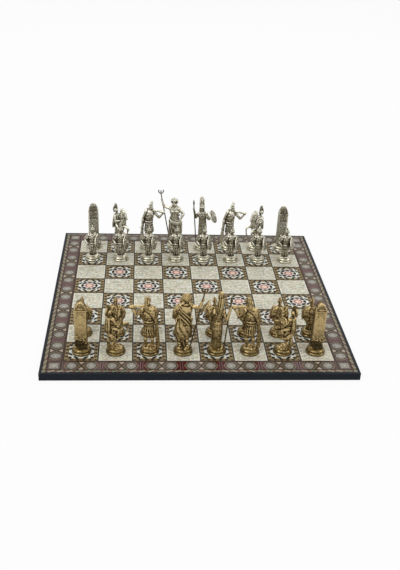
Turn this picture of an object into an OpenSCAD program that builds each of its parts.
// Chessboard of inlaid veneers on a flat panel, with its 32 cast metal chessmen.
// Millimetres. The origin is under the middle of the board, +Z up.
// The silver side stands at +Y and faces -Y, the gold side stands at -Y and faces +Y.

/* [Board plan] */
// Pitch of the squares, from line to line
square = 34.5; // [30:0.5:45]
// Width of the dark line between two squares
line_w = 1.3; // [0.6:0.1:2]
// Width of the medallion band of the border
band_w = 13.9; // [10:0.1:20]
// Width of the rope band outside the medallion band
rope_w = 4.8; // [3:0.1:7]
// Width of the black lipping round the panel
lipping_w = 2.1; // [1.5:0.1:4]

/* [Board thickness] */
// Thickness of the panel
core_t = 6.6; // [5:0.1:16]
// Thickness of the inlaid veneers on the face
veneer_t = 0.7; // [0.5:0.1:1.2]
// Thickness of the plain veneer on the underside
backing_t = 0.7; // [0.5:0.1:1.2]
// Diameter of a felt pad
pad_d = 14; // [8:1:20]
// Thickness of a felt pad
pad_t = 0.8; // [0.5:0.1:2]
// Distance of a pad's centre from the outer edges
pad_inset = 20; // [12:1:60]

/* [Inlay] */
// Width of the wooden frame of a dark square
frame_w = 3.9; // [2.5:0.1:6]
// Radius of a star's points
star_r = 8.2; // [5:0.1:10]
// Radius of the notches between a star's points
star_notch_r = 5.2; // [3.5:0.1:6.5]
// Number of points of a star
star_points = 8; // [6:1:10]
// Number of medallion pairs along one side of the border
modules = 7; // [5:2:9]
// Distance from a medallion's centre to the middle of its pair
medallion_offset = 9.6; // [8.5:0.1:12]
// Length of a medallion along the band
medallion_l = 9.8; // [7:0.1:12]
// Width of a medallion across the band
medallion_w = 10.8; // [7:0.1:12]
// Length of the pair of triangles between two medallions
hourglass_l = 6.2; // [4:0.1:8]

/* [Chessmen] */
// Radius of the round foot of a large piece
plinth_r = 10.1; // [9:0.1:12]
// Radius of the round foot of a pawn
pawn_plinth_r = 9.4; // [8:0.1:11]
// Height of the round foot
plinth_h = 6.2; // [5:0.1:8]
// Height of the king, to the tips of the trident
king_h = 78; // [70:1:84]
// Height of the queen, to the top of the crest
queen_h = 71.8; // [65:1:78]
// Height of a bishop, to the top of the crest
bishop_h = 65; // [58:1:70]
// Height of a knight, to the top of the plume
knight_h = 59; // [53:1:64]
// Height of a rook
rook_h = 59.2; // [53:1:64]
// Height of a pawn, to the top of the crest
pawn_h = 47; // [42:1:50]
// Radius of the shafts of the trident and the spear
shaft_r = 0.75; // [0.6:0.05:1]

/* [Hidden] */
SIDES = ["gold", "silver"];
ENDS = ["left", "right"];
EDGES = ["front", "right", "back", "left"];

cells = 8;
field = cells * square;
tile = square - line_w;
lattice_w = field + 2 * line_w;
band_in = lattice_w / 2;
rope_in = band_in + band_w;
lipping_in = rope_in + rope_w;
board_w = 2 * (lipping_in + lipping_w);
pitch_m = lattice_w / modules;
backing_z = pad_t;
core_z = backing_z + backing_t;
veneer_z = core_z + core_t;
top_z = veneer_z + veneer_t;
round_fn = 64;
limb_fn = 24;

// A flat piece of the face veneer
module inlay() translate([0, 0, veneer_z]) linear_extrude(veneer_t) children();

// Children at each light or dark square; the near left square is dark
module at_squares(dark) {
    for (c = [0 : cells - 1], r = [0 : cells - 1])
        if (((c + r) % 2 == 0) == dark)
            translate([(c - (cells - 1) / 2) * square, (r - (cells - 1) / 2) * square])
                children();
}

// Children turned from the front side to one of the four sides
module on_edge(k) rotate([0, 0, 90 * k]) children();

module star_outline() {
    polygon([for (i = [0 : 2 * star_points - 1])
        let (r = i % 2 == 0 ? star_r : star_notch_r, a = 180 / star_points * (i + 1))
            [r * cos(a), r * sin(a)]]);
}

// A medallion is a rectangle with its corners cut off
module medallion_outline() {
    cut = medallion_w * 0.3;
    x = medallion_l / 2;
    y = medallion_w / 2;
    polygon([[cut - x, -y], [x - cut, -y], [x, cut - y], [x, y - cut],
             [x - cut, y], [cut - x, y], [-x, y - cut], [-x, cut - y]]);
}

// Two triangles that meet at a narrow waist
module hourglass_outline() {
    waist = 0.6;
    x = hourglass_l / 2;
    y = band_w / 2 - 1.2;
    polygon([[-x, -y], [x, -y], [waist / 2, 0], [x, y], [-x, y], [-waist / 2, 0]]);
}

module at_modules() {
    for (m = [0 : modules - 1])
        translate([(m - (modules - 1) / 2) * pitch_m, -(band_in + band_w / 2)])
            children();
}

module medallions() at_modules() for (s = [-1, 1]) translate([s * medallion_offset, 0]) medallion_outline();
module hourglasses() at_modules() hourglass_outline();

// Board

module core_panel() {
    color("saddlebrown")
        translate([-lipping_in, -lipping_in, core_z])
            cube([2 * lipping_in, 2 * lipping_in, core_t]);
}

module backing_veneer() {
    color("sienna")
        translate([-lipping_in, -lipping_in, backing_z])
            cube([2 * lipping_in, 2 * lipping_in, backing_t]);
}

module felt_pads() {
    at = board_w / 2 - pad_inset;
    color("black")
        for (x = [-at, at], y = [-at, at])
            translate([x, y, 0]) cylinder(d = pad_d, h = pad_t, $fn = round_fn);
}

module lipping(k) {
    out = board_w / 2;
    color([0.12, 0.11, 0.12])
        on_edge(k) translate([0, 0, backing_z])
            linear_extrude(top_z - backing_z)
                polygon([[-out, -out], [out, -out], [lipping_in, -lipping_in], [-lipping_in, -lipping_in]]);
}

module rope_band(k) {
    color("rosybrown")
        on_edge(k) inlay() translate([-rope_in, -lipping_in]) square([2 * rope_in, rope_w]);
}

module rope_corners() {
    color("tan")
        for (k = [0 : 3]) on_edge(k) inlay() translate([rope_in, -lipping_in]) square(rope_w);
}

module border_band(k) {
    color([0.36, 0.28, 0.27])
        on_edge(k) inlay() difference() {
            translate([-band_in, -rope_in]) square([2 * band_in, band_w]);
            medallions();
            hourglasses();
        }
}

module corner_blocks() {
    color([0.5, 0.48, 0.46])
        for (k = [0 : 3]) on_edge(k) inlay() translate([band_in, -rope_in]) square(band_w);
}

module border_medallions() {
    color([0.6, 0.58, 0.54])
        for (k = [0 : 3]) on_edge(k) inlay() medallions();
}

module border_hourglasses() {
    color("wheat")
        for (k = [0 : 3]) on_edge(k) inlay() hourglasses();
}

module line_lattice() {
    color([0.2, 0.18, 0.2])
        inlay() difference() {
            square(lattice_w, center = true);
            for (dark = [false, true]) at_squares(dark) square(tile, center = true);
        }
}

module light_squares() {
    color([0.84, 0.84, 0.75])
        inlay() at_squares(false) square(tile, center = true);
}

module dark_square_frames() {
    color([0.6, 0.45, 0.27])
        inlay() at_squares(true) difference() {
            square(tile, center = true);
            square(tile - 2 * frame_w, center = true);
        }
}

module star_fields() {
    color([0.25, 0.26, 0.28])
        inlay() at_squares(true) difference() {
            square(tile - 2 * frame_w, center = true);
            star_outline();
        }
}

module stars() {
    color([0.9, 0.72, 0.68])
        inlay() at_squares(true) star_outline();
}

// Parts of the castings. A figure stands at the origin on its own ground and faces -Y.

// Children drawn upwards from the origin, laid from one point towards another
module along(a, b) {
    v = b - a;
    translate(a) rotate([0, acos(v[2] / norm(v)), atan2(v[1], v[0])]) children();
}

module bone(a, b, ra, rb) along(a, b) cylinder(h = norm(b - a), r1 = ra, r2 = rb, $fn = limb_fn);

module ball(p, r) translate(p) sphere(r = r, $fn = limb_fn);

// A row of tapered limbs with a round joint at each inner point and at the last one
module limb(p, r) {
    swell = 1.07;
    for (i = [0 : len(p) - 2]) bone(p[i], p[i + 1], r[i], r[i + 1]);
    for (i = [1 : len(p) - 1]) ball(p[i], swell * r[i]);
}

// The stepped round foot with two rounded rings
module plinth(r) {
    k = plinth_h / 6.2;
    rotate_extrude($fn = round_fn)
        polygon([[0, 0], [r - 0.5, 0], [r, 0.5 * k], [r, 1.7 * k], [r - 0.6, 2.3 * k],
                 [r - 1.3, 2.7 * k], [r - 1.3, 3.1 * k], [r - 0.9, 3.5 * k], [r - 0.9, 4.4 * k],
                 [r - 1.5, 5.2 * k], [r - 2.6, 5.8 * k], [r - 3.4, plinth_h], [0, plinth_h]]);
}

// A figure is drawn at the height that its module is made for and brought to its own height
module on_plinth(h, drawn_h, r) {
    plinth(r);
    translate([0, 0, plinth_h]) scale((h - plinth_h) / drawn_h) children();
}

// A body with a round section from a row of radii and heights
module turned(p) rotate_extrude($fn = round_fn) polygon(concat([[0, p[0][1]]], p));

// A domed round shield, its face along +Z
module shield(r) {
    rotate_extrude($fn = round_fn)
        polygon([[0, -0.5], [r - 0.3, -0.5], [r, -0.2], [r, 0.4], [r - 0.3, 0.8], [r - 1.6, 0.8],
                 [r - 2, 1.4], [r * 0.4, 2.3], [r * 0.2, 3.2], [0, 3.4]]);
}

module helmet(p, r) {
    ball(p, r);
    bone(p + [0, -r * 0.15, -r * 1.25], p, r * 0.66, r * 0.8);
}

module king_figure() {
    // Robe round both legs, with a knee pushed forward and a fold behind
    bone([-2.6, 0, -0.5], [-2, 0, 32], 4.6, 4.4);
    bone([3.4, 0.4, -0.5], [2.4, 0, 31], 4.2, 4.6);
    bone([1.8, -2.8, -0.5], [2.6, -1.8, 25], 3.1, 3.7);
    bone([0.6, 3.2, -0.5], [-0.2, 2, 20], 3.3, 2.6);
    // Cloth over his left shoulder and down the back
    bone([1.4, 1.7, 46.4], [-1.5, 1.9, 12], 2.7, 4.3);
    // Rolled cloth round the hips and its hanging end
    translate([-0.8, 0, 31.6]) rotate([-8, -14, 0]) rotate_extrude($fn = round_fn)
        translate([5.7, 0]) circle(r = 1.75, $fn = limb_fn);
    bone([-7.4, 1.6, 12], [-6.6, 0.8, 29.6], 1.1, 1.9);
    // Bare torso
    bone([-0.6, 0, 29], [-1.5, 0.1, 38], 5, 4.1);
    bone([-1.4, 0, 36.6], [-2.2, 0.3, 45.8], 4, 5.2);
    ball([-2.2, 0.4, 46.4], 5.3);
    ball([-4.4, -2.8, 45.2], 2.8);
    ball([0.2, -2.9, 45], 2.8);
    // Right arm out to the side with the trident
    limb([[-6, 0.6, 48.8], [-13.8, 3, 50], [-17.7, 4.8, 58.2]], [2.5, 1.9, 1.6]);
    trident([-6, 4.5, -0.5], [-18.9, 4.9, 66.6]);
    // Left arm with the hand on the hip
    limb([[1.6, 0.4, 48.4], [10.6, 1.2, 40.9], [5.8, -1.8, 34.4]], [2.7, 1.8, 1.7]);
    // Head with a full beard and curled hair
    bone([-2.2, 0.2, 47], [-2.3, -0.2, 56.6], 2.7, 2.4);
    ball([-2.3, -0.3, 58.6], 3.8);
    bone([-2.3, -2.4, 52.2], [-2.3, -1.5, 57.2], 1.5, 2.9);
    for (a = [45 : 90 : 315]) ball([-2.3 + 2.9 * cos(a), 0.3 + 2.6 * sin(a), 60.3], 2.4);
}

// A straight shaft from its foot to its head, with a fork of three points
module trident(foot, head) {
    prong = 5.2;
    spread = 2.9;
    bone(foot, head, shaft_r, shaft_r);
    translate(head) {
        translate([0, 0, spread]) rotate([90, 0, 0]) rotate_extrude(angle = -180, $fn = round_fn)
            translate([spread, 0]) circle(r = 0.6, $fn = limb_fn);
        for (x = [-1, 1]) bone([x * spread, 0, spread - 0.5], [x * spread, 0, spread + 1.4], 0.8, 0.25);
        bone([0, 0, -0.4], [0, 0, prong], 0.65, 0.25);
    }
}

module queen_figure() {
    // Long gown that falls straight to the feet
    bone([-1.6, 0, -0.5], [-0.9, 0, 32], 4.3, 4);
    bone([2.4, 0.2, -0.5], [1.4, 0, 32], 4.1, 3.8);
    bone([-0.6, -2.4, -0.5], [0.6, -1, 31], 3, 3);
    bone([0.6, 3, -0.5], [0.3, 1.8, 38], 3.4, 2.8);
    bone([0.2, 0, 30], [-0.4, 0, 39], 4.4, 5);
    ball([-0.4, 0.2, 39.6], 5.1);
    ball([-2.4, -2.9, 38.2], 2.2);
    ball([1.8, -2.9, 38], 2.2);
    // Right arm with the spear
    limb([[-1.4, 0.3, 42.2], [-4.8, 0.8, 41.4], [-8.4, 4.8, 36.2], [-11.4, 2.6, 46]], [2.4, 2.1, 1.8, 1.5]);
    ball([-11.4, 2.2, 47.6], 1.8);
    bone([-6.8, 3.4, -0.5], [-11.6, 1.8, 53.4], shaft_r, shaft_r);
    along([-11.5, 1.84, 52.2], [-11.9, 1.7, 60]) turned([[0.9, 0], [1.4, 2.8], [0.3, 7.8], [0, 7.8]]);
    // Left arm held forward behind a round shield
    limb([[0.8, 0.3, 42], [4.6, 0, 40.8], [7.6, -3.2, 35.4], [11, -7.8, 41]], [2.4, 2.1, 1.8, 1.6]);
    translate([12.4, -8.8, 42]) rotate([0, 60, -20]) shield(8.7);
    // Head in a helmet with a tall crest that falls down the neck
    bone([-0.6, 0.4, 41], [-1, -0.2, 50], 2.4, 1.9);
    helmet([-1.1, -0.2, 51.6], 3.4);
    limb([[-1.1, -1.6, 53.4], [-1.6, 0.2, 57.8], [-2, 1.8, 62.4], [-2, 2.4, 65]], [1.6, 2.5, 1.7, 0.6]);
    limb([[-1.6, 1.4, 57], [-0.9, 4, 52.4], [-0.4, 3.8, 45]], [2, 1.7, 1.5]);
}

module bishop_figure() {
    // Legs apart, kilt and cuirass
    limb([[-3.4, 0.6, -0.5], [-2.2, 0.2, 11], [-1.4, 0.2, 21]], [1.9, 1.8, 2.4]);
    limb([[4.4, -0.6, -0.5], [3.9, -1.2, 11], [3, -0.2, 21]], [1.9, 1.8, 2.4]);
    bone([1.2, 0, 18.6], [0.8, 0, 31], 5.6, 4.1);
    bone([0.8, 0, 31], [2.2, 0.2, 42], 4.1, 5.3);
    bone([0.8, 0, 30.4], [0.85, 0, 32.4], 4.5, 4.5);
    ball([2.3, 0.2, 42], 5.4);
    ball([0.2, -2.8, 41], 2.6);
    ball([4.4, -2.8, 41], 2.6);
    // Folded cloak that hangs from the right shoulder to the ground
    bone([-2.8, 2, 43], [-7.2, 1.6, 23], 1.9, 2);
    bone([-6.8, 1.6, 26], [-8.4, 1.3, -0.5], 1.9, 1.7);
    // Right arm down at the side with the sword point on the ground
    limb([[-0.6, 0.2, 44.6], [-4, 0.4, 43], [-6.8, 0.8, 33], [-7.6, -0.8, 25.2]], [2.4, 2.2, 1.7, 1.6]);
    bone([-8, -1.4, -0.5], [-7.7, -1, 25], 1.2, 1.05);
    bone([-10, -1.2, 22.4], [-5.6, -1.1, 22.7], 0.9, 0.9);
    // Left arm bent, with a club laid over the shoulder
    limb([[4.6, 0.2, 45], [8.6, 0, 44.2], [13.6, -1.6, 35.6], [18.1, -3.4, 42.6]], [2.5, 2.2, 1.7, 1.4]);
    along([5.4, -2.2, 46.6], [20.6, -3.8, 44.7])
        turned([[0.9, 0], [1.2, 11.6], [1.8, 13.4], [1.8, 14.8], [1.1, 15.8], [0, 16]]);
    // Head in a crested helmet
    bone([2.6, 0.2, 43], [3, -0.2, 50], 2.4, 1.9);
    helmet([3.1, -0.2, 51.4], 2.9);
    limb([[3.2, -2.4, 53.2], [3.8, 0.2, 56], [4.3, 1.8, 57.2]], [0.9, 1.5, 1.5]);
    limb([[4.1, 1.2, 56.4], [3.4, 3.6, 51], [3, 3.8, 46]], [1.5, 1.4, 1.1]);
}

// The horse rears along +X and its rider leans back
module knight_figure() {
    // Hind legs
    for (s = [-1, 1]) {
        limb([[-3.4, 3.4 * s, -0.5], [-6.6, 3.2 * s, 6.4], [-3, 2.6 * s, 13]], [1.5, 1.3, 3.4]);
    }
    // Barrel, chest and arched neck
    limb([[-4, 0, 14], [-0.6, 0, 21], [3.6, 0, 27.6], [4.2, 0, 36], [3.8, 0, 43.2]], [5, 4.8, 4.7, 3.7, 3]);
    bone([4.6, 0, 43.4], [9.4, 0, 36], 3, 1.8);
    ball([9.6, 0, 35.7], 2);
    for (s = [-1, 1]) bone([3.4, 1.3 * s, 44.6], [3, 1.6 * s, 48.4], 0.9, 0.25);
    // Forelegs, one stretched out and one tucked in
    limb([[4, -2.4, 25], [13, -3.4, 24.6], [12.2, -3.4, 14.8]], [2.7, 1.5, 1.2]);
    limb([[4, 2.4, 24], [9.6, 3.2, 20], [7, 3.2, 12]], [2.7, 1.5, 1.2]);
    // Tail down to the ground
    bone([-7.4, 0.2, 13], [-7.2, 0.6, -0.5], 1.9, 1.2);
    // Rider: legs, torso, arms
    for (s = [-1, 1]) limb([[-4.4, 2.6 * s, 25], [0.6, 5 * s, 21.4], [-1, 5 * s, 13]], [2.5, 1.7, 1.2]);
    bone([-4.4, 0, 22], [-6.6, 0, 35.6], 4, 4.3);
    ball([-6.6, 0, 36], 4.4);
    limb([[-6.2, -3, 37], [-4, -5.6, 31], [1.6, -3.2, 32]], [1.9, 1.4, 1.2]);
    limb([[-6.2, 3, 37], [-4.6, 6.2, 32], [0.4, 5.8, 33.6]], [1.9, 1.4, 1.2]);
    translate([-0.6, 6.6, 33.4]) rotate([78, 0, -20]) cylinder(r = 5.4, h = 1.2, center = true, $fn = round_fn);
    // Cloak, head and tall plume
    bone([-8.6, 0, 38], [-10.4, 0, 20], 3, 2.6);
    bone([-6.8, 0, 38], [-7.3, 0, 43], 2, 1.8);
    helmet([-7.4, 0, 43.4], 2.9);
    limb([[-6.8, 0, 45.6], [-8, 0, 48.8], [-8.4, 0, 51.6]], [1.2, 1.6, 1.1]);
    limb([[-8, 0, 48.6], [-10.4, 0, 44.4], [-10.8, 0, 40]], [1.5, 1.4, 0.9]);
}

// An upright tablet with a round head, a moulded ledge and a sunk panel on its face
module rook_figure() {
    w = 12.2;
    d = 8.6;
    cornice = 43;
    crown = 53;
    shoulder_r = 5.9;
    dome_r = 4.3;
    difference() {
        union() {
            translate([-w / 2, -d / 2, -0.5]) cube([w, d, cornice + 1]);
            translate([-w / 2 - 0.5, -d / 2 - 0.5, cornice]) cube([w + 1, d + 1, 1.4]);
            translate([-w / 2 - 0.5, -d / 2 - 0.5, -0.5]) cube([w + 1, d + 1, 2.7]);
            // Rounded shoulders and the dome above them
            translate([0, d / 2 - 0.3, 0]) rotate([90, 0, 0]) linear_extrude(d - 0.6) {
                translate([0, cornice + 1.8]) circle(r = shoulder_r, $fn = round_fn);
                translate([0, crown - dome_r]) circle(r = dome_r, $fn = round_fn);
            }
        }
        // Sunk panels with round heads on the face and the back
        for (face = [-1, 1])
            translate([0, face * (d / 2 + 0.4) + 1, 0]) rotate([90, 0, 0]) linear_extrude(2) {
                translate([-4.1, 6]) square([8.2, 28]);
                translate([0, 34]) circle(r = 4.1, $fn = limb_fn);
            }
    }
    // Carved relief in the front panel
    for (s = [-1, 1]) bone([2.9 * s, -d / 2 + 0.5, 5.4], [2.9 * s, -d / 2 + 0.5, 34], 0.7, 0.7);
    ball([0, -d / 2 + 0.5, 30], 2.1);
    // Small standing statue before it
    bone([-1.4, -4.9, -0.5], [-1.4, -4.6, 12], 1.9, 1.5);
    ball([-1.4, -4.9, 14.2], 1.6);
}

module pawn_figure() {
    // Low mound of ground, legs with greaves, kilt and body
    translate([0, 0, -0.6]) turned([[5.4, 0], [4.9, 1.1], [0, 1.2]]);
    bone([-2.5, 0.4, -0.5], [-1.6, 0, 11], 1.6, 2.2);
    bone([2.9, -0.4, -0.5], [2, 0, 11], 1.6, 2.2);
    translate([0.4, 0.1, 8.6]) turned([[4.9, 0], [3.7, 7.2], [3.9, 9.4], [4.9, 14.6], [4.7, 17.6], [3.1, 20], [0, 20.8]]);
    // Short cloak spread behind the arms
    bone([0.3, 3, 26.4], [0.3, 4, 12.6], 2.7, 3.2);
    for (s = [-1, 1]) bone([0.4 + 1.8 * s, 2.4, 27], [0.3 + 6.9 * s, 2.6, 15], 2.1, 2.7);
    // Right arm bent out, left arm behind the round shield
    limb([[-3.4, 0.4, 26.4], [-9, 0.4, 19.4], [-5.4, -4, 16.4]], [2.2, 1.5, 1.4]);
    bone([4, 0, 26.2], [6.8, -3.2, 19.4], 2.3, 1.5);
    translate([6.8, -4.4, 18.8]) rotate([0, 80, -18]) shield(8.6);
    // Head in a crested helmet
    bone([0.6, 0.3, 27], [0.8, -0.2, 33], 2, 1.8);
    helmet([0.9, -0.3, 34.6], 2.7);
    limb([[0.9, -1.2, 36.6], [0.8, 1, 39.2], [0.7, 3.9, 30]], [1.2, 1.5, 1]);
}

module king() on_plinth(king_h, 71.8, plinth_r) king_figure();
module queen() on_plinth(queen_h, 65.6, plinth_r) queen_figure();
module bishop() on_plinth(bishop_h, 58.8, plinth_r) bishop_figure();
module knight() on_plinth(knight_h, 52.8, plinth_r) knight_figure();
module rook() on_plinth(rook_h, 53, plinth_r) rook_figure();
module pawn() on_plinth(pawn_h, 40.8, pawn_plinth_r) pawn_figure();

// Children on a square, counted from the near left, in the side's metal and facing the enemy
module stand(side, col, row, turn = 0) {
    color(side == "gold" ? "goldenrod" : "silver")
        translate([(col - (cells - 1) / 2) * square, (row - (cells - 1) / 2) * square, top_z])
            rotate([0, 0, (side == "gold" ? 180 : 0) + turn])
                children();
}

function back_row(side) = side == "gold" ? 0 : cells - 1;
function pawn_row(side) = side == "gold" ? 1 : cells - 2;
// Column of a paired piece: offset columns in from the left or right edge of the board
function column(end, inset) = end == "left" ? inset : cells - 1 - inset;
// A horse is turned towards the middle; the same casting stands at both ends
function knight_turn(side, end) = (side == "silver") == (end == "left") ? -37 : -143;

core_panel();
backing_veneer();
felt_pads();
for (k = [0 : 3]) lipping(k);
for (k = [0 : 3]) rope_band(k);
rope_corners();
for (k = [0 : 3]) border_band(k);
corner_blocks();
border_medallions();
border_hourglasses();
line_lattice();
light_squares();
dark_square_frames();
star_fields();
stars();
for (s = SIDES) stand(s, 3, back_row(s)) king();
for (s = SIDES) stand(s, 4, back_row(s)) queen();
for (s = SIDES, e = ENDS) stand(s, column(e, 2), back_row(s)) bishop();
for (s = SIDES, e = ENDS) stand(s, column(e, 1), back_row(s), knight_turn(s, e)) knight();
for (s = SIDES, e = ENDS) stand(s, column(e, 0), back_row(s)) rook();
for (s = SIDES, i = [1 : 8]) stand(s, i - 1, pawn_row(s)) pawn();
